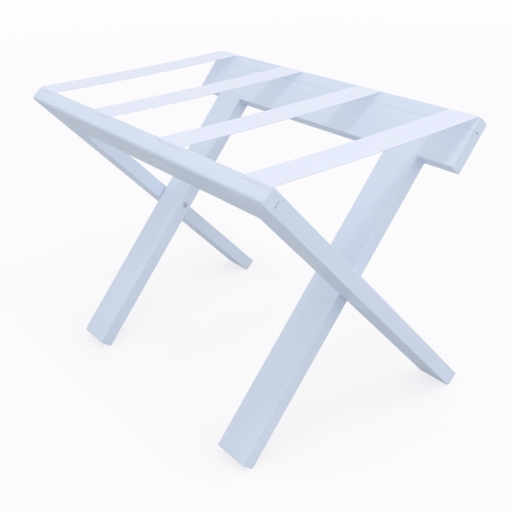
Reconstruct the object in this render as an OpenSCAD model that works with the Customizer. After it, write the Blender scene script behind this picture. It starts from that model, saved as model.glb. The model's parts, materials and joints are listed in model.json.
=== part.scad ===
/* [Frames] */
// Length of the two top rails
rail_len = 600; // [500:10:760]
// Thickness of every board
board_t = 25; // [23:0.5:32]
// Width of each leg board
leg_w = 60; // [50:1:80]
// Depth of the outer frame's rail, top bar and apron together
outer_rail_w = 68; // [64:1:90]
// Depth of the inner frame's rail, top bar and apron together
inner_rail_w = 81; // [66:1:100]
// Depth of the top bar glued along each rail
bar_w = 20.5; // [18:0.5:26]
// Distance along a board from the pivot to the rail's top edge
top_reach = 298.5; // [260:0.5:360]
// Distance along a board from the pivot to the end of its foot
foot_reach = 294; // [260:1:360]
// Lean of the boards from upright with the rack open, in degrees
lean = 41.3; // [30:0.1:50]
// Width of the flat planed on each foot's floor edge
foot_flat = 3; // [2:0.5:6]

/* [Edges] */
// Radius of the eased edges of the boards
arris_r = 1.5; // [1:0.5:2.5]
// Radius of each rail's outer top edge
crown_r = 5; // [3:0.5:7]
// Radius of each rail's inner top edge, where the straps turn
lip_r = 1; // [0.5:0.5:2]
// Depth of the fine V along the seam between top bar and apron
seam_v = 0.5; // [0.3:0.1:1]
// Width of the glue kerf inside that seam, open at the rail ends
kerf_w = 9.5; // [6:0.5:11]
// Height of that kerf
kerf_t = 1.2; // [0.8:0.1:1.6]

/* [Straps] */
// Width of the webbing
strap_w = 51; // [38:1:60]
// Thickness of the webbing
strap_t = 1.4; // [1:0.1:1.8]
// Distance from each rail end to the edge of the outermost strap
strap_inset = 1.5; // [1.5:0.5:10]
// Width of the rail's top face that each strap covers before its slot
strap_lap = 3; // [2.5:0.5:5]
// Length of the strap end that lies in the pocket under the top bar
strap_tail = 12; // [10:0.5:13]
// How far the middle of a strap hangs below its ends
strap_sag = 2; // [0:0.5:5]
// Room round the webbing in its slot and pocket, and under it on the rail
strap_gap = 0.25; // [0.2:0.05:0.35]

/* [Staples] */
// Staples through each strap end
staples_per_strap = 2; // [1:1:3]
// Spacing of the staples of one strap
staple_pitch = 20; // [15:1:22]
// Width of a staple's crown
staple_crown = 10; // [8:1:12]
// Width of the flat staple wire
staple_w = 1.2; // [1:0.1:1.4]
// Thickness of the flat staple wire
staple_t = 0.5; // [0.4:0.1:0.6]
// Depth that a staple's points reach into the top bar
staple_bite = 6; // [4:0.5:8]
// Room round the staple wire
staple_gap = 0.1; // [0.08:0.01:0.15]

/* [Dowels] */
// Diameter of the dowels between leg and apron
leg_dowel_d = 10; // [8:1:12]
// Length of each half of a leg dowel
leg_dowel_half = 22; // [16:1:24]
// Spacing of the two dowels in one leg
leg_dowel_pitch = 30; // [24:1:34]
// Diameter of the dowels between top bar and apron
bar_dowel_d = 8; // [6:1:9]
// Depth of those dowels in the top bar
bar_dowel_up = 12; // [8:1:14]
// Depth of those dowels in the apron
bar_dowel_down = 15; // [10:1:16]
// Spacing of the two dowels in each bay between straps
bar_dowel_pitch = 50; // [30:1:56]
// Radial room round a glued dowel
dowel_fit = 0.05; // [0.03:0.01:0.1]
// Room left past the end of a dowel
dowel_end = 0.5; // [0.3:0.1:0.8]

/* [Pivots] */
// Diameter of the pivot bolts
bolt_d = 5; // [4:1:8]
// Diameter of the bolt's button head
head_d = 9.5; // [8:0.5:12]
// Height of the bolt's button head
head_h = 2.8; // [2.3:0.1:4]
// Size across the flats of the hexagon socket
socket_af = 3; // [2.5:0.5:4]
// Depth of the hexagon socket
socket_depth = 1.6; // [1.2:0.1:2]
// Depth that the bolt reaches into the outer leg
bolt_bite = 18; // [17:1:30]
// Radial running room of the bolt in the inner leg
bolt_play = 0.08; // [0.04:0.01:0.1]
// Room between bolt head and inner leg
head_play = 0.3; // [0.2:0.1:0.5]
// Outer diameter of the threaded insert
insert_d = 10; // [9.5:0.5:12]
// Length of the threaded insert
insert_len = 15; // [10:1:16]
// Radial room of the bolt in the insert, and of the insert in its hole
insert_fit = 0.05; // [0.03:0.01:0.1]
// Outer diameter of the washer between the legs
washer_d = 18; // [14:1:22]
// Thickness of that washer
washer_t = 1.5; // [1:0.1:2]
// Room between washer and inner leg
washer_play = 0.2; // [0.1:0.1:0.4]

/* [Hidden] */
$fn = 48;

// Straps on the rack, each its own piece
strap_count = 4;
// Straight pieces that draw each turn of a strap, and its hanging span
turn_steps = 4;
span_steps = 11;
// Colours
paint = [0.84, 0.87, 0.91];
webbing = [0.93, 0.94, 0.99];
birch = [0.80, 0.68, 0.50];
zinc = [0.58, 0.60, 0.63];
brass = [0.72, 0.60, 0.34];
nylon = [0.78, 0.80, 0.83];
// Overshoot of a cut past the face that it opens
over = 1;

// Frame layout. Each frame is drawn flat: x along the rail, y across the board with the
// face towards the other frame at +y, z along the board with the pivot at 0.
half_len = rail_len / 2;
half_t = board_t / 2;
leg_gap = washer_t + washer_play;
outer_leg_x = half_len - leg_w / 2;
inner_leg_x = outer_leg_x - leg_w - leg_gap;
bar_z = top_reach - bar_w;
outer_apron_z = top_reach - outer_rail_w;
inner_apron_z = top_reach - inner_rail_w;
// Height of the pivot at which the foot flats lie on the floor
pivot_z = foot_reach * cos(lean) + half_t * sin(lean) - foot_flat * sin(lean) * cos(lean);

// Straps, the beds where they lie flush in the rail's top, their slots and their pockets
strap_first_x = half_len - strap_inset - strap_w / 2;
strap_pitch = 2 * strap_first_x / (strap_count - 1);
strap_mid = strap_gap + strap_t / 2;
slot_t = strap_t + 2 * strap_gap;
slot_y1 = half_t - strap_lap;
slot_y0 = slot_y1 - slot_t;
bed_d = strap_t + strap_gap;
bed_z = top_reach - bed_d;
tail_y = slot_y0 - strap_tail;
pocket_d = strap_gap + strap_t + staple_t + 2 * staple_gap;
pocket_z = bar_z + pocket_d;
staple_y = (slot_y0 + tail_y) / 2;
crown_z = pocket_z - strap_gap - strap_t - staple_gap - staple_t;

// Pivot parts along +x from the inner leg's inward face
head_x = inner_leg_x - leg_w / 2 - head_play;
insert_x = outer_leg_x - leg_w / 2;
bolt_tip_x = insert_x + bolt_bite;

function strap_x(i) = -strap_first_x + i * strap_pitch;

// Points of an arc round c with radius r from angle a0 to a1
function arc(c, r, a0, a1) =
  [for (i = [0:turn_steps]) let (a = a0 + (a1 - a0) * i / turn_steps) c + r * [cos(a), sin(a)]];

// A point of the outer frame's section carried to where it stands on the floor
function stood(p) =
  [p[0] * cos(lean) - p[1] * sin(lean), pivot_z + p[0] * sin(lean) + p[1] * cos(lean)];

// Centre line of a strap on the outer frame: the tail in the pocket, up through the slot,
// over the bed, and round the lip until it is level
strap_end_path = concat(
  [[tail_y, pocket_z - strap_mid]],
  arc([slot_y0, pocket_z], strap_mid, -90, 0),
  arc([slot_y1, bed_z], strap_mid, 180, 90),
  arc([half_t - lip_r, bed_z - lip_r], lip_r + strap_mid, 90, 90 - lean)
);
strap_side = [for (p = strap_end_path) stood(p)];
strap_off = strap_side[len(strap_side) - 1];
// The span from lip to lip hangs in a parabola
strap_span = [
  for (k = [1:span_steps - 1]) let (u = k / span_steps)
    [strap_off[0] * (1 - 2 * u), strap_off[1] - 4 * strap_sag * u * (1 - u)]
];
strap_path = concat(
  strap_side,
  strap_span,
  [for (i = [len(strap_side) - 1:-1:0]) [-strap_side[i][0], strap_side[i][1]]]
);

function unit(v) = v / norm(v);
function normal(a, b) = let (d = unit(b - a)) [-d[1], d[0]];
// Point i of a path moved sideways by d, with mitred turns
function beside(p, i, d) =
  let (
    last = len(p) - 1,
    n0 = normal(p[max(i - 1, 0)], p[max(i - 1, 0) + 1]),
    n1 = normal(p[min(i, last - 1)], p[min(i, last - 1) + 1])
  )
  p[i] + (n0 + n1) * d / (1 + n0 * n1);

// Stands a frame's flat drawing on the floor, the outer frame leaning one way
module in_outer_frame() {
  translate([0, 0, pivot_z]) rotate([lean, 0, 0]) children();
}

// and the inner frame the other way
module in_inner_frame() {
  translate([0, 0, pivot_z]) mirror([0, 1, 0]) rotate([lean, 0, 0]) children();
}

// Extrudes a (y, z) section from x0 to x1
module along_x(x0, x1) {
  translate([x0, 0, 0]) rotate([90, 0, 90]) linear_extrude(x1 - x0) children();
}

// Waste of a rounded corner at the origin with its wood towards +x and +y
module corner_waste(r) {
  difference() {
    translate([-over, -over]) square(r + over);
    translate([r, r]) circle(r);
  }
}

// Waste of a small bevel at the origin
module bevel_waste(d) {
  polygon([[-over, -over], [d + over, -over], [-over, d + over]]);
}

// Rectangle w by d round the origin with corners of radius r
module rounded_rect(w, d, r) {
  square([w - 2 * r, d], center = true);
  square([w, d - 2 * r], center = true);
  for (x = [-1, 1], y = [-1, 1])
    translate([x * (w / 2 - r), y * (d / 2 - r)]) circle(r);
}

// Board from x0 to x1 and z0 to z1 with its four z edges eased
module board(x0, x1, z0, z1) {
  translate([(x0 + x1) / 2, 0, z0])
    linear_extrude(z1 - z0) rounded_rect(x1 - x0, board_t, arris_r);
}

// Eases both faces' edges along x, at height z, where the board lies above
module ease_lower_edges(x0, x1, z) {
  for (s = [-1, 1])
    along_x(x0, x1) translate([s * half_t, z]) mirror([s > 0 ? 1 : 0, 0]) corner_waste(arris_r);
}

// Section of a top bar with its crown, lip, seam bevels and kerf
module bar_section() {
  difference() {
    translate([-half_t, bar_z]) square([board_t, bar_w]);
    translate([-half_t, top_reach]) mirror([0, 1]) corner_waste(crown_r);
    translate([half_t, top_reach]) mirror([1, 0]) mirror([0, 1]) corner_waste(lip_r);
    for (s = [-1, 1])
      translate([s * half_t, bar_z]) mirror([s > 0 ? 1 : 0, 0]) bevel_waste(seam_v);
    translate([-kerf_w / 2, bar_z - over]) square([kerf_w, kerf_t + over]);
  }
}

// Legs of the staples of one strap end, with room g round the wire, from z0 to z1
module staple_legs(g, z0, z1) {
  for (k = [0:staples_per_strap - 1], s = [-1, 1])
    translate([
      (k - (staples_per_strap - 1) / 2) * staple_pitch + s * (staple_crown - staple_t) / 2,
      staple_y,
      (z0 + z1) / 2
    ])
      cube([staple_t + 2 * g, staple_w + 2 * g, z1 - z0], center = true);
}

// Axes of the dowels between top bar and apron: two in each bay between straps
module at_bar_dowels() {
  for (i = [0:strap_count - 2], s = [-1, 1])
    translate([strap_x(i) + strap_pitch / 2 + s * bar_dowel_pitch / 2, 0, bar_z]) children();
}

// Axes of the dowels between the legs at plus and minus leg_x and the apron
module at_leg_dowels(leg_x, z) {
  for (side = [-1, 1], s = [-1, 1])
    translate([side * leg_x + s * leg_dowel_pitch / 2, 0, z]) children();
}

// Round bar or hole from down below to up above the origin
module peg(d, down, up) {
  translate([0, 0, -down]) cylinder(h = down + up, d = d);
}

// Wood cleared for strap i: its bed, open at the rail's end for the outermost straps, its slot,
// its pocket and its staple holes
module strap_waste(i) {
  x0 = strap_x(i) - strap_w / 2 - strap_gap;
  x1 = strap_x(i) + strap_w / 2 + strap_gap;
  along_x(i == 0 ? -half_len - over : x0, i == strap_count - 1 ? half_len + over : x1) {
    translate([slot_y0, bed_z]) square([strap_lap + slot_t + over, bed_d + over]);
    translate([half_t, bed_z]) mirror([1, 0]) mirror([0, 1]) corner_waste(lip_r);
  }
  along_x(x0, x1) {
    translate([slot_y0, bar_z]) square([slot_t, bar_w]);
    translate([tail_y - strap_gap, bar_z - over])
      square([slot_y1 - tail_y + strap_gap, pocket_d + over]);
  }
  translate([strap_x(i), 0, 0])
    staple_legs(staple_gap, pocket_z - over, pocket_z + staple_bite + staple_gap);
}

module top_bar() {
  color(paint) difference() {
    intersection() {
      along_x(-half_len, half_len) bar_section();
      board(-half_len, half_len, bar_z, top_reach);
    }
    for (i = [0:strap_count - 1]) strap_waste(i);
    at_bar_dowels() peg(bar_dowel_d + 2 * dowel_fit, over, bar_dowel_up + dowel_end);
  }
}

// Apron from z up to the top bar, with its lower edges eased where no leg meets it
module apron(z, leg_x, free) {
  color(paint) difference() {
    board(-half_len, half_len, z, bar_z);
    for (f = free) ease_lower_edges(f[0], f[1], z);
    for (s = [-1, 1])
      along_x(-half_len - over, half_len + over)
        translate([s * half_t, bar_z]) mirror([s > 0 ? 1 : 0, 0]) mirror([0, 1])
          bevel_waste(seam_v);
    at_bar_dowels() peg(bar_dowel_d + 2 * dowel_fit, bar_dowel_down + dowel_end, over);
    at_leg_dowels(leg_x, z)
      peg(leg_dowel_d + 2 * dowel_fit, over, leg_dowel_half + dowel_end);
  }
}

// Leg standing at x, its top butted to the apron at z, its foot planed flat on the floor
module leg_blank(x, z) {
  difference() {
    board(x - leg_w / 2, x + leg_w / 2, -foot_reach, z);
    along_x(x - leg_w / 2 - over, x + leg_w / 2 + over)
      translate([half_t, -foot_reach]) mirror([1, 0]) corner_waste(arris_r);
    for (s = [-1, 1])
      translate([x + s * leg_dowel_pitch / 2, 0, z])
        peg(leg_dowel_d + 2 * dowel_fit, leg_dowel_half + dowel_end, over);
    // the floor, seen from the leaning leg
    rotate([-lean, 0, 0])
      translate([x - leg_w, -board_t, -pivot_z - board_t])
        translate([0, -foot_reach, 0]) cube([2 * leg_w, 2 * foot_reach, board_t]);
  }
}

// Outer leg with the blind hole for its threaded insert in the inward edge
module outer_leg(side) {
  color(paint) difference() {
    in_outer_frame() leg_blank(side * outer_leg_x, outer_apron_z);
    from_side(side) translate([insert_x - over, 0, 0]) rotate([0, 90, 0])
      cylinder(h = bolt_bite + dowel_end + over, d = insert_d + 2 * insert_fit);
  }
}

// Inner leg with the bore that turns on the pivot bolt
module inner_leg(side) {
  color(paint) difference() {
    in_inner_frame() leg_blank(side * inner_leg_x, inner_apron_z);
    from_side(side) translate([inner_leg_x - leg_w / 2 - over, 0, 0]) rotate([0, 90, 0])
      cylinder(h = leg_w + 2 * over, d = bolt_d + 2 * bolt_play);
  }
}

// Puts what is drawn along the pivot axis of the +x end at either end of the rack
module from_side(side) {
  translate([0, 0, pivot_z]) mirror([side < 0 ? 1 : 0, 0, 0]) children();
}

module strap(i) {
  n = len(strap_path);
  color(webbing) difference() {
    along_x(strap_x(i) - strap_w / 2, strap_x(i) + strap_w / 2)
      polygon(concat(
        [for (k = [0:n - 1]) beside(strap_path, k, strap_t / 2)],
        [for (k = [n - 1:-1:0]) beside(strap_path, k, -strap_t / 2)]
      ));
    translate([strap_x(i), 0, 0]) {
      in_outer_frame() staple_legs(staple_gap, bar_z, pocket_z);
      in_inner_frame() staple_legs(staple_gap, bar_z, pocket_z);
    }
  }
}

// Every staple of one frame: a crown under the webbing and two legs up into the top bar
module strap_staples() {
  color(zinc)
    for (i = [0:strap_count - 1]) translate([strap_x(i), 0, 0]) {
      staple_legs(0, crown_z, pocket_z + staple_bite);
      for (k = [0:staples_per_strap - 1])
        translate([(k - (staples_per_strap - 1) / 2) * staple_pitch, staple_y, crown_z + staple_t / 2])
          cube([staple_crown, staple_w, staple_t], center = true);
    }
}

module leg_dowels(leg_x, z) {
  color(birch) at_leg_dowels(leg_x, z) peg(leg_dowel_d, leg_dowel_half, leg_dowel_half);
}

module bar_dowels() {
  color(birch) at_bar_dowels() peg(bar_dowel_d, bar_dowel_down, bar_dowel_up);
}

// Button-head bolt put in from inside the rack, its head outside the inner leg
module pivot_bolt(side) {
  dome_r = (head_d * head_d / 4 + head_h * head_h) / (2 * head_h);
  color(zinc) from_side(side) difference() {
    translate([head_x, 0, 0]) rotate([0, 90, 0]) {
      cylinder(h = bolt_tip_x - head_x, d = bolt_d);
      intersection() {
        translate([0, 0, -head_h]) cylinder(h = head_h, d = head_d);
        translate([0, 0, dome_r - head_h]) sphere(dome_r);
      }
    }
    translate([head_x - head_h - over, 0, 0]) rotate([0, 90, 0])
      cylinder(h = socket_depth + over, r = socket_af / sqrt(3), $fn = 6);
  }
}

module threaded_insert(side) {
  color(brass) from_side(side) translate([insert_x, 0, 0]) rotate([0, 90, 0]) difference() {
    cylinder(h = insert_len, d = insert_d);
    translate([0, 0, -over]) cylinder(h = insert_len + 2 * over, d = bolt_d + 2 * insert_fit);
  }
}

module spacer_washer(side) {
  color(nylon) from_side(side) translate([insert_x - washer_t, 0, 0]) rotate([0, 90, 0])
    difference() {
      cylinder(h = washer_t, d = washer_d);
      translate([0, 0, -over]) cylinder(h = washer_t + 2 * over, d = bolt_d + 2 * bolt_play);
    }
}

module outer_top_bar() { in_outer_frame() top_bar(); }
module inner_top_bar() { in_inner_frame() top_bar(); }

module outer_apron() {
  inside = outer_leg_x - leg_w / 2;
  in_outer_frame() apron(outer_apron_z, outer_leg_x, [[-inside, inside]]);
}

module inner_apron() {
  inside = inner_leg_x - leg_w / 2;
  outside = inner_leg_x + leg_w / 2;
  in_inner_frame() apron(inner_apron_z, inner_leg_x, [
    [-half_len - over, -outside],
    [-inside, inside],
    [outside, half_len + over]
  ]);
}

module outer_leg_near() { outer_leg(1); }
module outer_leg_far() { outer_leg(-1); }
module inner_leg_near() { inner_leg(1); }
module inner_leg_far() { inner_leg(-1); }
module strap_1() { strap(0); }
module strap_2() { strap(1); }
module strap_3() { strap(2); }
module strap_4() { strap(3); }
module outer_leg_dowels() { in_outer_frame() leg_dowels(outer_leg_x, outer_apron_z); }
module inner_leg_dowels() { in_inner_frame() leg_dowels(inner_leg_x, inner_apron_z); }
module outer_bar_dowels() { in_outer_frame() bar_dowels(); }
module inner_bar_dowels() { in_inner_frame() bar_dowels(); }
module outer_strap_staples() { in_outer_frame() strap_staples(); }
module inner_strap_staples() { in_inner_frame() strap_staples(); }
module pivot_bolt_near() { pivot_bolt(1); }
module pivot_bolt_far() { pivot_bolt(-1); }
module threaded_insert_near() { threaded_insert(1); }
module threaded_insert_far() { threaded_insert(-1); }
module spacer_washer_near() { spacer_washer(1); }
module spacer_washer_far() { spacer_washer(-1); }

outer_top_bar();
outer_apron();
outer_leg_near();
outer_leg_far();
inner_top_bar();
inner_apron();
inner_leg_near();
inner_leg_far();
strap_1();
strap_2();
strap_3();
strap_4();
outer_leg_dowels();
inner_leg_dowels();
outer_bar_dowels();
inner_bar_dowels();
outer_strap_staples();
inner_strap_staples();
pivot_bolt_near();
pivot_bolt_far();
threaded_insert_near();
threaded_insert_far();
spacer_washer_near();
spacer_washer_far();
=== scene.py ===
import json
import math

import bpy
import numpy as np
from mathutils import Matrix, Vector


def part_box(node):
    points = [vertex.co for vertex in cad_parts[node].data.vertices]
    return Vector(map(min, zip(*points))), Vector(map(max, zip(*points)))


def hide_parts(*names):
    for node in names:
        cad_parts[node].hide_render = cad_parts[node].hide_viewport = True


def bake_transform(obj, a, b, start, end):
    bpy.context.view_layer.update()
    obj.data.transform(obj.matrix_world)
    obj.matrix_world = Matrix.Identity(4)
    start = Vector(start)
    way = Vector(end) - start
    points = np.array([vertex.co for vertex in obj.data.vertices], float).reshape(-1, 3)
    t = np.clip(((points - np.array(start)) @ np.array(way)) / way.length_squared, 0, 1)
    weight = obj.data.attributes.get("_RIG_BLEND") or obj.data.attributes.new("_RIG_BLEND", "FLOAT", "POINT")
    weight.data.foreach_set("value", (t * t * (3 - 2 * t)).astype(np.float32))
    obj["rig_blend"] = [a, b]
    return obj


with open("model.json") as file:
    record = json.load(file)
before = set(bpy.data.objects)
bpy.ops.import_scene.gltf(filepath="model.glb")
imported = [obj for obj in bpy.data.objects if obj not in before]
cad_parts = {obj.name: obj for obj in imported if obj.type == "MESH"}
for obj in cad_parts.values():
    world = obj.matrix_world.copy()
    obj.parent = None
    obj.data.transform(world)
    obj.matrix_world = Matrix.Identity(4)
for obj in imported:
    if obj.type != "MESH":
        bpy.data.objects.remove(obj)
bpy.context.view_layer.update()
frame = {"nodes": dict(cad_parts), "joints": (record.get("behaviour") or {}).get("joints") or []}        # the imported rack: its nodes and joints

scene = bpy.context.scene
foldJoint = frame["joints"][0]
pivotHeight = foldJoint["pos_m"][2]
print("frame loaded:", len(frame["nodes"]), "nodes, pivot at", round(pivotHeight, 4))

# Sizes that both frames share, in metres and degrees
board = {
    "lean": 41.3,         # of every board from upright, with the rack open
    "thickness": 0.025,
    "topReach": 0.2985,   # from the pivot to the rail's top edge, along a board
    "lipRadius": 0.001,   # rail's inner top edge, where the straps turn
}

# Camera, at the photograph's place and angle
cameraSetup = {
    "eye": (0.8851, -0.6792, 0.7733),
    "yaw": 51.64,         # degrees round from facing +Y
    "pitch": 27.59,       # degrees down
    "roll": -1.70,
    "focalPixels": 742.2,
    "framePixels": 512,
    "sensor": 36.0,       # mm
    "clip": (0.01, 60),   # metres, nearest and furthest
}

# Light: an even white sky, a round softbox high on the near side, which casts the straps' shadows
# on the inner rail, and a wide low sun from that side
lampSetup = {
    "softbox": {
        "place": (0.62, 0.0, 1.95),
        "aim": (0.0, 0.0, 0.45),        # the middle of the rack's top
        "across": 0.34,
        "watts": 3.3,
        "colour": (1.0, 0.99, 0.98),
    },
    "sun": {
        "azimuth": 90,                  # degrees, as the next two
        "elevation": 22,
        "size": 50,
        "strength": 0.33,
        "colour": (1.0, 0.985, 0.985),
    },
    "skyLight": (0.97, 0.985, 1.0),     # what the world gives the object
    "skyStrength": 0.84,
    "backdrop": (1.0, 0.985, 1.0),      # what the camera and glossy rays see, at a strength of 1
    "floorSeen": (1.0, 0.985, 0.995),
    "floorGlow": 0.72,                  # share of the seen floor that shadows don't reach
    "floorFade": (1.2, 4.5),            # metres from the middle where it begins to grow and is whole
    "floorBounce": (0.519, 0.543, 0.562),  # floor colour as the rack receives it
    "floorHalf": 9.0,                   # metres
}


def direction(azimuth, elevation):
    # Unit vector towards a bearing: azimuth 0 is -Y and 90 is +X, elevation is above the floor
    a, e = math.radians(azimuth), math.radians(elevation)
    return Vector((math.sin(a) * math.cos(e), -math.cos(a) * math.cos(e), math.sin(e)))


def addCamera():
    c = cameraSetup
    data = bpy.data.cameras.new("photoCamera")
    data.sensor_width = c["sensor"]
    data.lens = c["focalPixels"] / c["framePixels"] * c["sensor"]
    data.clip_start, data.clip_end = c["clip"]
    camera = bpy.data.objects.new("photoCamera", data)
    scene.collection.objects.link(camera)
    back = direction(c["yaw"], c["pitch"])
    level = Vector((math.cos(math.radians(c["yaw"])), math.sin(math.radians(c["yaw"])), 0))
    up = back.cross(level)
    roll = math.radians(c["roll"])
    right = level * math.cos(roll) + up * math.sin(roll)
    top = up * math.cos(roll) - level * math.sin(roll)
    turn = Matrix((right, top, back)).transposed().to_4x4()
    camera.matrix_world = Matrix.Translation(c["eye"]) @ turn
    scene.camera = camera


def addLamp(name, kind, towards, energy, colour):
    # Its back faces towards, a vector from the rack to the lamp
    data = bpy.data.lights.new(name, kind)
    data.energy, data.color = energy, colour
    lamp = bpy.data.objects.new(name, data)
    scene.collection.objects.link(lamp)
    lamp.rotation_euler = towards.to_track_quat("Z", "Y").to_euler()
    return lamp


def addLamps():
    box, sun = lampSetup["softbox"], lampSetup["sun"]
    away = Vector(box["place"]) - Vector(box["aim"])
    lamp = addLamp("softbox", "AREA", away, box["watts"], box["colour"])
    lamp.location = box["place"]
    lamp.data.shape, lamp.data.size = "DISK", box["across"]
    away = direction(sun["azimuth"], sun["elevation"])
    lamp = addLamp("sun", "SUN", away, sun["strength"], sun["colour"])
    lamp.data.angle = math.radians(sun["size"])


def newMaterial(name):
    material = bpy.data.materials.new(name)
    material.use_nodes = True
    tree = material.node_tree
    tree.nodes.clear()
    return material, tree


def put(tree, kind, inputs=None, **settings):
    # Adds a node, sets its settings, and links or sets each named input
    node = tree.nodes.new(kind)
    for key, value in settings.items():
        setattr(node, key, value)
    for key, value in (inputs or {}).items():
        if isinstance(value, bpy.types.NodeSocket):
            tree.links.new(value, node.inputs[key])
        else:
            node.inputs[key].default_value = value
    return node


def calc(tree, operation, *values):
    # A Math node on sockets or numbers
    return put(tree, "ShaderNodeMath", dict(enumerate(values)), operation=operation).outputs[0]


def remap(tree, value, source, target=(0.0, 1.0), curve="LINEAR"):
    # Carries the range source to the range target, and stops at its ends
    ends = {"From Min": source[0], "From Max": source[1], "To Min": target[0], "To Max": target[1]}
    node = put(tree, "ShaderNodeMapRange", {"Value": value, **ends}, interpolation_type=curve)
    return node.outputs[0]


def mixColour(tree, factor, a, b):
    # a and b, which go into the Mix node's colour inputs 6 and 7, are sockets or (red, green, blue)
    a, b = (c if isinstance(c, bpy.types.NodeSocket) else (*c, 1) for c in (a, b))
    return put(tree, "ShaderNodeMix", {0: factor, 6: a, 7: b}, data_type="RGBA").outputs[2]


def linear(*rgb):
    # A colour as seen on screen, 0 to 255, as the linear values that a shader takes
    return tuple(((c / 255 + 0.055) / 1.055) ** 2.4 if c > 10 else c / 255 / 12.92 for c in rgb)


def seenDirectly(tree):
    # 1 for camera, glossy and transmission rays, 0 for light that reaches other surfaces
    path = put(tree, "ShaderNodeLightPath")
    seen = calc(tree, "MAXIMUM", path.outputs["Is Camera Ray"], path.outputs["Is Glossy Ray"])
    return calc(tree, "MAXIMUM", seen, path.outputs["Is Transmission Ray"])


def addWorld():
    world = bpy.data.worlds.new("studio")
    world.use_nodes = True
    scene.world = world
    tree = world.node_tree
    tree.nodes.clear()
    sky = put(tree, "ShaderNodeBackground",
              {"Color": (*lampSetup["skyLight"], 1), "Strength": lampSetup["skyStrength"]})
    backdrop = put(tree, "ShaderNodeBackground", {"Color": (*lampSetup["backdrop"], 1), "Strength": 1.0})
    mix = put(tree, "ShaderNodeMixShader",
              {0: seenDirectly(tree), 1: sky.outputs[0], 2: backdrop.outputs[0]})
    put(tree, "ShaderNodeOutputWorld", {"Surface": mix.outputs[0]})


def addFloor():
    # The floor takes faint shadows near the rack, and turns into the backdrop further off, so that
    # no horizon shows
    material, tree = newMaterial("paleFloor")
    seen = seenDirectly(tree)
    colour = mixColour(tree, seen, lampSetup["floorBounce"], lampSetup["floorSeen"])
    shadowed = put(tree, "ShaderNodeBsdfDiffuse", {"Color": colour})
    white = put(tree, "ShaderNodeEmission", {"Color": (*lampSetup["backdrop"], 1), "Strength": 1.0})
    place = put(tree, "ShaderNodeTexCoord").outputs["Object"]
    distance = put(tree, "ShaderNodeVectorMath", {0: place}, operation="LENGTH").outputs["Value"]
    share = remap(tree, distance, lampSetup["floorFade"], (lampSetup["floorGlow"], 1.0), "SMOOTHSTEP")
    glow = calc(tree, "MULTIPLY", seen, share)
    shader = put(tree, "ShaderNodeMixShader", {0: glow, 1: shadowed.outputs[0], 2: white.outputs[0]})
    put(tree, "ShaderNodeOutputMaterial", {"Surface": shader.outputs[0]})
    h = lampSetup["floorHalf"]
    mesh = bpy.data.meshes.new("studioFloor")
    mesh.from_pydata([(-h, -h, 0), (h, -h, 0), (h, h, 0), (-h, h, 0)], [], [(0, 1, 2, 3)])
    mesh.materials.append(material)
    floor = bpy.data.objects.new("studioFloor", mesh)
    scene.collection.objects.link(floor)


scene.view_settings.view_transform = "Standard"
addCamera()
addLamps()
addWorld()
addFloor()
print("camera, lamps and floor ready")


def noise(tree, vector, scale, character):
    # character holds the noise's detail, roughness and distortion
    node = put(tree, "ShaderNodeTexNoise", {"Vector": vector, "Scale": scale, **character})
    return node.outputs["Fac"]


def bumped(tree, relief):
    # Relief is in metres, so the bump's distance is 1
    return put(tree, "ShaderNodeBump", {"Height": relief, "Distance": 1.0}).outputs[0]


def surface(tree, inputs):
    # Gives a material a Principled shader with these inputs
    shader = put(tree, "ShaderNodeBsdfPrincipled", inputs)
    put(tree, "ShaderNodeOutputMaterial", {"Surface": shader.outputs[0]})


def newGroup(name, scales, results):
    # A shader node group with a vector and its named scales going in, and numbers coming out
    group = bpy.data.node_groups.new(name, "ShaderNodeTree")
    group.interface.new_socket("Vector", in_out="INPUT", socket_type="NodeSocketVector")
    for label, scale in scales.items():
        socket = group.interface.new_socket(label, in_out="INPUT", socket_type="NodeSocketFloat")
        socket.default_value = scale
    for label in results:
        group.interface.new_socket(label, in_out="OUTPUT", socket_type="NodeSocketFloat")
    into, out = group.nodes.new("NodeGroupInput"), group.nodes.new("NodeGroupOutput")
    return group, into.outputs, out.inputs


def use(tree, group, vector, scales):
    # Places a group in a material, with the material's own scales
    return put(tree, "ShaderNodeGroup", {"Vector": vector, **scales}, node_tree=group).outputs


# Wood grain. Here and below scales are per metre, and a material sets its own.
grainNoise = {
    "scales": {"Bands": 90.0, "Pores": 900.0, "Stretch": 0.03},  # Stretch is along against across
    "bands": {"Detail": 3.0, "Roughness": 0.55, "Distortion": 0.35},
    "pores": {"Detail": 2.0, "Roughness": 0.6},
    "poreContrast": 3.0,          # power that the pores' noise is raised to
}


def makeGrainGroup():
    # Straight grain along the vector's z: noise stretched along z gives broad bands, and finer
    # noise raised to a power gives pores
    g = grainNoise
    group, into, out = newGroup("woodGrain", g["scales"], ("Bands", "Pores"))
    along = put(group, "ShaderNodeCombineXYZ", {0: 1.0, 1: 1.0, 2: into["Stretch"]})
    stretched = put(group, "ShaderNodeVectorMath", {0: into["Vector"], 1: along.outputs[0]},
                    operation="MULTIPLY").outputs[0]
    pores = noise(group, stretched, into["Pores"], g["pores"])
    group.links.new(noise(group, stretched, into["Bands"], g["bands"]), out["Bands"])
    group.links.new(calc(group, "POWER", pores, g["poreContrast"]), out["Pores"])
    return group


# Skin of a sprayed or moulded finish
skinNoise = {
    "scales": {"Peel": 700.0, "Mottle": 14.0, "Smudges": 28.0},
    "peel": {"Detail": 1.5},
    "mottle": {"Detail": 4.0, "Roughness": 0.6},
    "smudges": {"Detail": 5.0, "Roughness": 0.65, "Distortion": 0.8},
    "smudgeRange": (0.56, 0.74),  # noise at which a smudge begins and is full
}


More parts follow.
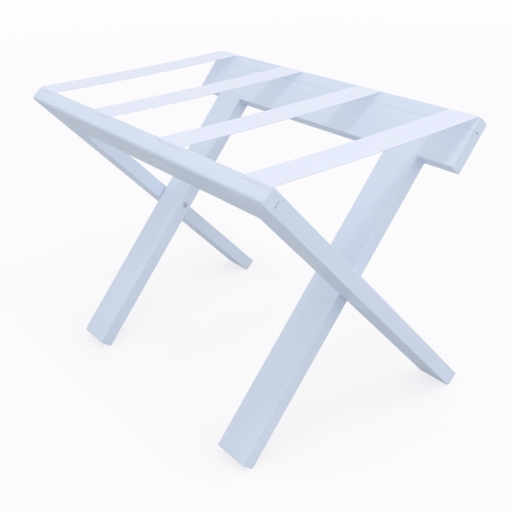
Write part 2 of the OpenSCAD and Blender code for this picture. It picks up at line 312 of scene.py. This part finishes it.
def makeSkinGroup():
    # Fine round bumps, a slow mottle, and sparse soft smudges where hands have been, which are the
    # peaks of a noise
    s = skinNoise
    group, into, out = newGroup("finishSkin", s["scales"], ("Peel", "Mottle", "Smudges"))
    smudges = noise(group, into["Vector"], into["Smudges"], s["smudges"])
    group.links.new(noise(group, into["Vector"], into["Peel"], s["peel"]), out["Peel"])
    group.links.new(noise(group, into["Vector"], into["Mottle"], s["mottle"]), out["Mottle"])
    group.links.new(remap(group, smudges, s["smudgeRange"], curve="SMOOTHSTEP"), out["Smudges"])
    return group


grainGroup = makeGrainGroup()
skinGroup = makeSkinGroup()

# Satin paint on the eight boards, with its relief in metres
paint = {
    "colour": linear(228, 237, 252),
    "thinColour": linear(219, 229, 246),  # where the paint is a little thinner over the grain
    "thinness": 1.5,              # how much of it shows, times grain and mottle
    "smudgeColour": linear(208, 217, 231),
    "smudgeShare": 0.16,          # how much of it shows in a smudge
    "roughness": (0.44, 0.56),
    "roughnessMottle": (0.3, 0.7),  # the mottle that gives those two
    "endRoughness": 0.14,         # added on the end grain
    "smudgeRoughness": 0.06,      # added in a smudge
    "grainDepth": 0.00006,        # of the grain under the paint
    "peelDepth": 0.000025,
    "endDepth": 0.00010,
    "grain": {"Bands": 110.0, "Stretch": 0.028},
    "endRings": {"Bands": 160.0, "Stretch": 1.0},
    "endFacing": (0.75, 0.95),    # cosine to the board's length where end grain begins and is full
    "skin": {"Peel": 650.0, "Mottle": 11.0, "Smudges": 24.0},
    "gloss": {"IOR": 1.42, "Coat Weight": 0.04, "Coat Roughness": 0.3},
}

# Each board's grain: the way it runs, and the shift in metres that gives it its own stretch
boardGrain = {
    "outer_top_bar": ("x", (0.0, 0.0, 0.0)),
    "outer_apron": ("x", (0.7, 0.3, 0.2)),
    "outer_leg_near": ("z", (1.3, 0.1, 0.0)),
    "outer_leg_far": ("z", (2.1, 0.4, 0.5)),
    "inner_top_bar": ("x", (3.2, 0.9, 0.1)),
    "inner_apron": ("x", (4.1, 0.2, 0.6)),
    "inner_leg_near": ("z", (5.3, 0.6, 0.3)),
    "inner_leg_far": ("z", (6.1, 0.8, 0.9)),
}


def upright(node):
    # Turn about x that sets the boards of the node's frame upright
    return math.radians(-board["lean"] if node.startswith("outer") else board["lean"])


def dress(node, material):
    mesh = frame["nodes"][node].data
    mesh.materials.clear()
    mesh.materials.append(material)


def paintBoard(node, along, shift):
    # Object space is set upright along the board, and a rail's grain is then turned from x to z.
    # The paint is thin where grain and mottle are both high, and end grain shows where a face
    # looks along the board.
    p = paint
    material, tree = newMaterial("paint." + node)
    place = put(tree, "ShaderNodeTexCoord").outputs
    turn = (upright(node), math.radians(-90) if along == "x" else 0.0, 0.0)
    local = put(tree, "ShaderNodeMapping",
                {"Vector": place["Object"], "Location": shift, "Rotation": turn}).outputs[0]
    facing = put(tree, "ShaderNodeMapping", {"Vector": place["Normal"], "Rotation": turn}).outputs[0]
    endwise = put(tree, "ShaderNodeSeparateXYZ", {0: facing}).outputs[2]
    endGrain = remap(tree, calc(tree, "ABSOLUTE", endwise), p["endFacing"], curve="SMOOTHSTEP")
    grain = use(tree, grainGroup, local, p["grain"])
    endRings = use(tree, grainGroup, local, p["endRings"])
    skin = use(tree, skinGroup, local, p["skin"])
    thin = calc(tree, "MULTIPLY", calc(tree, "MULTIPLY", grain["Bands"], skin["Mottle"]), p["thinness"])
    tone = mixColour(tree, thin, p["colour"], p["thinColour"])
    soiled = calc(tree, "MULTIPLY", skin["Smudges"], p["smudgeShare"])
    tone = mixColour(tree, soiled, tone, p["smudgeColour"])
    rough = remap(tree, skin["Mottle"], p["roughnessMottle"], p["roughness"])
    rough = calc(tree, "MULTIPLY_ADD", endGrain, p["endRoughness"], rough)
    rough = calc(tree, "MULTIPLY_ADD", skin["Smudges"], p["smudgeRoughness"], rough)
    relief = calc(tree, "MULTIPLY", grain["Bands"], p["grainDepth"])
    relief = calc(tree, "MULTIPLY_ADD", skin["Peel"], p["peelDepth"], relief)
    endRelief = calc(tree, "MULTIPLY", endRings["Bands"], p["endDepth"])
    relief = calc(tree, "MULTIPLY_ADD", endRelief, endGrain, relief)
    surface(tree, {"Base Color": tone, "Roughness": rough, "Normal": bumped(tree, relief), **p["gloss"]})
    dress(node, material)


for node, (along, shift) in boardGrain.items():
    paintBoard(node, along, shift)
print("boards painted:", len(boardGrain))

# Bare birch dowels
birch = {
    "nodes": ("outer_leg_dowels", "outer_bar_dowels", "inner_leg_dowels", "inner_bar_dowels"),
    "colour": linear(222, 196, 154),
    "dark": linear(190, 155, 108),
    "roughness": 0.62,
    "grain": {"Bands": 420.0, "Pores": 1800.0, "Stretch": 0.06},
    "poreDepth": 0.00008,
}


def dressDowels(node):
    # Grain along the dowels, whose bands give the tone and whose pores the relief
    material, tree = newMaterial("birch." + node)
    place = put(tree, "ShaderNodeTexCoord").outputs
    local = put(tree, "ShaderNodeMapping",
                {"Vector": place["Object"], "Rotation": (upright(node), 0.0, 0.0)}).outputs[0]
    grain = use(tree, grainGroup, local, birch["grain"])
    tone = mixColour(tree, grain["Bands"], birch["colour"], birch["dark"])
    relief = calc(tree, "MULTIPLY", grain["Pores"], birch["poreDepth"])
    surface(tree, {"Base Color": tone, "Roughness": birch["roughness"], "Normal": bumped(tree, relief)})
    dress(node, material)


# Metal and plastic fittings, with the relief of their tool marks in metres
fittings = {
    "zincPlate": {
        "nodes": ("pivot_bolt_near", "pivot_bolt_far"),
        "colour": linear(189, 195, 205),
        "dark": linear(155, 163, 175),
        "metallic": 1.0,
        "roughness": 0.34,
        "markDepth": 0.00002,
    },
    "stapleWire": {
        "nodes": ("outer_strap_staples", "inner_strap_staples"),
        "colour": linear(186, 188, 192),
        "dark": linear(150, 152, 158),
        "metallic": 1.0,
        "roughness": 0.38,
        "markDepth": 0.00001,
    },
    "turnedBrass": {
        "nodes": ("threaded_insert_near", "threaded_insert_far"),
        "colour": linear(214, 186, 118),
        "dark": linear(170, 138, 78),
        "metallic": 1.0,
        "roughness": 0.30,
        "markDepth": 0.00002,
    },
    "whiteNylon": {
        "nodes": ("spacer_washer_near", "spacer_washer_far"),
        "colour": linear(216, 221, 229),
        "dark": linear(198, 204, 214),
        "metallic": 0.0,
        "roughness": 0.48,
        "markDepth": 0.00002,
    },
}
# What the fittings' tool marks and smudges share
turning = {
    "marks": 2600.0,
    "markNoise": {"Detail": 2.0},
    "alongShare": 0.5,            # how fast the marks change along the axis, against away from it
    "skin": {"Mottle": 260.0, "Smudges": 180.0},
    "smudgeRoughness": 0.16,      # added in a smudge
}


def dressFittings(name):
    # Tool marks run round the pivot's axis: noise on the distance along it and the radius from it,
    # with the skin's mottle and smudges over it
    f, t = fittings[name], turning
    material, tree = newMaterial(name)
    place = put(tree, "ShaderNodeTexCoord").outputs
    centred = put(tree, "ShaderNodeMapping",
                  {"Vector": place["Object"], "Location": (0.0, 0.0, -pivotHeight)}).outputs[0]
    apart = put(tree, "ShaderNodeSeparateXYZ", {0: centred}).outputs
    flat = put(tree, "ShaderNodeCombineXYZ", {1: apart[1], 2: apart[2]}).outputs[0]
    radius = put(tree, "ShaderNodeVectorMath", {0: flat}, operation="LENGTH").outputs["Value"]
    along = calc(tree, "MULTIPLY", apart[0], t["alongShare"])
    rings = put(tree, "ShaderNodeCombineXYZ", {0: along, 1: radius}).outputs[0]
    marks = noise(tree, rings, t["marks"], t["markNoise"])
    skin = use(tree, skinGroup, centred, t["skin"])
    tone = mixColour(tree, skin["Mottle"], f["colour"], f["dark"])
    rough = calc(tree, "MULTIPLY_ADD", skin["Smudges"], t["smudgeRoughness"], f["roughness"])
    relief = calc(tree, "MULTIPLY", marks, f["markDepth"])
    surface(tree, {"Base Color": tone, "Metallic": f["metallic"], "Roughness": rough,
                   "Normal": bumped(tree, relief)})
    for node in f["nodes"]:
        dress(node, material)


for node in birch["nodes"]:
    dressDowels(node)
for name in fittings:
    dressFittings(name)
fitted = sum(len(fitting["nodes"]) for fitting in fittings.values())
print("dowels and fittings finished:", len(birch["nodes"]) + fitted)

# Webbing straps, in metres
webbing = {
    "count": 4,
    "thickness": 0.0014,
    "gap": 0.00025,        # between webbing and wood
    "lap": 0.003,          # width of the bed in the rail's top under the strap
    "tail": 0.012,         # end that lies in the pocket under the top bar
    "pocketTop": 0.28035,  # from the pivot to the pocket's roof, along a board
    "sag": 0.002,          # how far the middle hangs below the ends
    "crease": 8,           # how square its outside turns out of the slot, 2 is round
    "selvedge": 0.0022,    # width of the thicker cord woven along each edge
    "selvedgeDip": 0.12,   # share of the thickness lost in the line beside it
    "dipWidth": 0.0004,    # half width of that line
    "bodyDip": 0.05,       # share of the thickness lost over the rest of the face
    "columns": 64,         # faces across the strap, on each side
    "tailSteps": 5,
    "climbSteps": 8,
    "arcSteps": 8,
    "spanRows": 210,
    "easing": 0.8,         # how much closer the rows lie near the lips, 0 is evenly
}

# From the wood to the webbing's middle, and from the pivot to the bed where a strap lies flush with
# the rail's top, along a board
middle = webbing["gap"] + webbing["thickness"] / 2
bedTop = board["topReach"] - webbing["thickness"] - webbing["gap"]


def arcPoints(centre, radius, start, stop):
    # Points of an arc in (y, z), angles in degrees from +y
    a = np.radians(np.linspace(start, stop, webbing["arcSteps"] + 1))[:, None]
    return np.asarray(centre) + radius * np.hstack([np.cos(a), np.sin(a)])


def stood(points):
    # The outer frame's flat section (y across the board, z along it) leaned and set on its pivot
    lean = math.radians(board["lean"])
    y, z = points[:, 0], points[:, 1]
    return np.stack([y * math.cos(lean) - z * math.sin(lean),
                     pivotHeight + y * math.sin(lean) + z * math.cos(lean)], axis=1)


def pressedOut():
    # How many times its half thickness the webbing's outside stands off its centre line through
    # the bend out of the slot: a superellipse of the bend's outer radius in place of the circle
    w = webbing
    radius = w["gap"] + w["thickness"]
    angle = np.linspace(0, math.pi / 2, w["arcSteps"] + 1)
    power = w["crease"]
    square = radius * (np.cos(angle) ** power + np.sin(angle) ** power) ** (-1 / power)
    return 1 + (square - radius) / (w["thickness"] / 2)


def strapLine():
    # Centre line in (y, z): tail in the pocket, up the slot, over the bed, round the lip, across
    # in a parabola, and the mirror image on the other frame. Rows lie closer near the lips. The
    # swell that goes with each row is 1 but at the two pressed bends.
    w = webbing
    lip, half, roof = board["lipRadius"], board["thickness"] / 2, w["pocketTop"]
    slot = half - w["lap"] - middle
    inner, outer = slot - middle, slot + middle
    climb = np.concatenate([
        np.linspace((inner - w["tail"], roof - middle), (inner, roof - middle), w["tailSteps"],
                    endpoint=False),
        arcPoints((inner, roof), middle, -90, 0),
        np.linspace((slot, roof), (slot, bedTop), w["climbSteps"] + 1)[1:-1],
    ])
    turn = arcPoints((outer, bedTop), middle, 180, 90)
    over = arcPoints((half - lip, bedTop - lip), lip + middle, 90, 90 - board["lean"])
    side = stood(np.concatenate([climb, turn, over]))
    step = np.linspace(0, 1, w["spanRows"] + 2)[1:-1]
    eased = step - w["easing"] * np.sin(2 * np.pi * step) / (2 * np.pi)
    start = side[-1]
    span = np.stack([start[0] * (1 - 2 * eased), start[1] - 4 * w["sag"] * eased * (1 - eased)],
                    axis=1)
    line = np.concatenate([side, span, side[::-1] * (-1, 1)])
    swell = np.concatenate([np.ones(len(climb)), pressedOut(), np.ones(len(over))])
    return line, np.concatenate([swell, np.ones(len(span)), swell[::-1]]), len(side)


def strapRing(width):
    # Cross-section (x across, h through the webbing) as one closed ring: a flat band with round
    # edges, its face dipping beside each selvedge; x is width/2 times the sine of an even angle
    w = webbing
    t = w["thickness"] / 2
    angle = np.linspace(-math.pi / 2, math.pi / 2, w["columns"] + 1)
    x = width / 2 * np.sin(angle)
    inset = width / 2 - np.abs(x)
    edge = np.clip(1 - inset / t, 0, 1)
    h = t * np.sqrt(1 - edge ** 2)
    h = h * (1 - w["selvedgeDip"] * np.exp(-((inset - w["selvedge"]) / w["dipWidth"]) ** 2))
    h = h * (1 - w["bodyDip"] * np.clip(inset / w["selvedge"] - 1, 0, 1))
    return np.concatenate([x, x[-2:0:-1]]), np.concatenate([h, -h[-2:0:-1]])


def strapPoints(line, swell, ringX, ringH):
    # The closed ring carried along the centre line: x runs across the strap, and the ring's h,
    # swelled on the outside, is laid off along the line's normal
    lift = np.where(ringH > 0, ringH * swell[:, None], ringH)
    slope = np.gradient(line, axis=0)
    slope /= np.linalg.norm(slope, axis=1)[:, None]
    points = np.empty((*lift.shape, 3))
    points[:, :, 0] = ringX
    points[:, :, 1] = line[:, :1] - slope[:, 1:] * lift
    points[:, :, 2] = line[:, 1:] + slope[:, :1] * lift
    return points, lift


def tubeFaces(rows, columns):
    # Quads between each row of points and the next, and one face over each end
    row, column = np.meshgrid(np.arange(rows - 1), np.arange(columns), indexing="ij")
    after = (column + 1) % columns
    quads = np.stack([row * columns + column, (row + 1) * columns + column,
                      (row + 1) * columns + after, row * columns + after], axis=-1).reshape(-1, 4)
    first = np.arange(columns)
    last = (rows - 1) * columns + first[::-1]
    return quads.tolist() + [first.tolist(), last.tolist()]


def foldShare(y, z, lift, span):
    # Share of the fold that each point follows, so that the slack hangs as a narrow U between the
    # rails: the fold turns a point about the pivot, so it keeps its distance rho from there. At
    # full fold it ends beside its own rail, at the bearing where across is its distance from the
    # frame's centre plane, which goes round the lip's arc and then down the rail's face. Near the
    # middle the two walls close in a half circle about the mid-plane.
    fold, lean = math.radians(foldJoint["range_deg"][1]), math.radians(board["lean"])
    half, lip = board["thickness"] / 2, board["lipRadius"]
    rho = np.hypot(y, z)
    rest = -np.arctan2(np.abs(y), z)
    radius = lip + middle + lift
    across = half - lip + radius
    for _ in range(3):     # across and the height above the lip's centre settle together
        above = np.sqrt(rho ** 2 - across ** 2) - (bedTop - lip)
        across = half - lip + np.sqrt(np.clip(radius ** 2 - np.clip(above, 0, None) ** 2, 0, None))
    wedge = lean - fold / 2
    wall = wedge - np.arcsin(across / rho)
    level = (z[span] - lift[span]).min()
    bend = level * wedge - half - middle
    low = np.clip((level + bend - rho) / (bend - lift), 0, 1)
    apart = wall * np.sqrt(1 - low ** 2)
    share = np.clip((rest + fold / 2 + apart) / fold, 0, 1)
    share = np.where(span, share, 0)
    return np.where(y > 0, 1 - share, share)


# Look of the webbing, lengths in metres
weave = {
    "colour": linear(239, 242, 255),
    "valleyShadeAndMottle": linear(223, 228, 249),  # painted shade where the yarns are low, also the darker tone of the random mottle
    "pick": 0.0016,        # spacing of the ribs across the strap
    "end": 0.0012,         # spacing of the yarns along it
    "depth": 0.00022,
    "valleyShadeShare": 0.5,    # how much of the painted shade shows in the weave's low places
    "fibres": 520.0,       # hairs along the yarns, per metre
    "fibreNoise": {"Detail": 3.0},
    "fibreStretch": (9.0, 1.0, 1.0),
    "fibreHeight": 0.35,   # against the yarns'
    "skin": {"Mottle": 9.0},
    "mottleShare": 0.22,   # how much of that darker tone the random mottle adds
    "lightThrough": 0.8,   # share of the sky's light that passes the cloth's two faces
    "gloss": {"Roughness": 0.82, "Specular IOR Level": 0.32, "Sheen Weight": 0.12,
              "Sheen Roughness": 0.45},
}


def webbingMaterial():
    # Plain weave on the strap's own UV, in metres: the product of two sines makes yarns cross
    # over and under, with a hair of noise along the yarns. The low places get a painted shade.
    w = weave
    material, tree = newMaterial("webbing")
    uv = put(tree, "ShaderNodeUVMap", uv_map="cloth").outputs[0]
    apart = put(tree, "ShaderNodeSeparateXYZ", {0: uv}).outputs
    across = calc(tree, "SINE", calc(tree, "MULTIPLY", apart[0], math.pi / w["end"]))
    along = calc(tree, "SINE", calc(tree, "MULTIPLY", apart[1], math.pi / w["pick"]))
    crossing = calc(tree, "MULTIPLY", across, along)
    ridge = calc(tree, "MULTIPLY_ADD", crossing, 0.5, 0.5)
    stretched = put(tree, "ShaderNodeMapping", {"Vector": uv, "Scale": w["fibreStretch"]}).outputs[0]
    fibre = noise(tree, stretched, w["fibres"], w["fibreNoise"])
    height = calc(tree, "MULTIPLY_ADD", fibre, w["fibreHeight"], ridge)
    relief = calc(tree, "MULTIPLY", height, w["depth"])
    skin = use(tree, skinGroup, uv, w["skin"])
    # Painted shade: the weave's low places are coloured darker, as shade would fall between the yarns
    shade = calc(tree, "MULTIPLY", calc(tree, "SUBTRACT", 1.0, ridge), w["valleyShadeShare"])
    tone = mixColour(tree, shade, w["colour"], w["valleyShadeAndMottle"])
    mottle = calc(tree, "MULTIPLY", skin["Mottle"], w["mottleShare"])
    tone = mixColour(tree, mottle, tone, w["valleyShadeAndMottle"])
    # White cloth glows with the light on it, so the sky's light mostly goes on to what lies under
    # it. The lamps' doesn't, and casts its shadow.
    path = put(tree, "ShaderNodeLightPath").outputs
    scattered = calc(tree, "MULTIPLY", path["Is Diffuse Ray"], w["lightThrough"] ** 0.5)
    solid = calc(tree, "SUBTRACT", 1.0, scattered)
    surface(tree, {"Base Color": tone, "Normal": bumped(tree, relief), "Alpha": solid, **w["gloss"]})
    return material


def addStrap(number, material):
    # One strap's mesh, its UV that lies flat on the cloth in metres, and its ties to the frame
    low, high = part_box(f"strap_{number}")
    line, swell, ends = strapLine()
    ringX, ringH = strapRing(high.x - low.x)
    points, lift = strapPoints(line, swell, (low.x + high.x) / 2 + ringX, ringH)
    rows, columns = lift.shape
    mesh = bpy.data.meshes.new(f"webbing_strap_{number}")
    mesh.from_pydata(points.reshape(-1, 3), [], tubeFaces(rows, columns))
    length = np.concatenate([[0], np.cumsum(np.linalg.norm(np.diff(line, axis=0), axis=1))])
    flat = np.empty((rows, columns, 2))
    flat[:, :, 0] = ringX - ringX.min()
    flat[:, :, 1] = length[:, None]
    corners = np.zeros(len(mesh.loops), np.int32)
    mesh.loops.foreach_get("vertex_index", corners)
    cloth = mesh.uv_layers.new(name="cloth")
    cloth.data.foreach_set("uv", flat.reshape(-1, 2)[corners].astype(np.float32).ravel())
    mesh.polygons.foreach_set("use_smooth", np.ones(len(mesh.polygons), bool))
    mesh.materials.append(material)
    mesh.update()
    strap = bpy.data.objects.new(mesh.name, mesh)
    scene.collection.objects.link(strap)
    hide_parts(f"strap_{number}")
    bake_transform(strap, "outer_frame", "inner_frame", start=(0, line[ends, 0], line[ends, 1]),
             end=(0, -line[ends, 0], line[ends, 1]))
    isSpan = np.zeros((rows, columns), bool)
    isSpan[ends:rows - ends] = True
    share = foldShare(points[:, :, 1].ravel(), points[:, :, 2].ravel() - pivotHeight,
                      lift.ravel(), isSpan.ravel())
    mesh.attributes["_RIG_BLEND"].data.foreach_set("value", share.astype(np.float32))
    return strap, length[-1]


webbingFinish = webbingMaterial()
for number in range(1, webbing["count"] + 1):
    strap, cutLength = addStrap(number, webbingFinish)
    print(f"{strap.name}: {len(strap.data.polygons)} faces, cut {cutLength * 1000:.0f} mm long")

print("all pieces dressed")
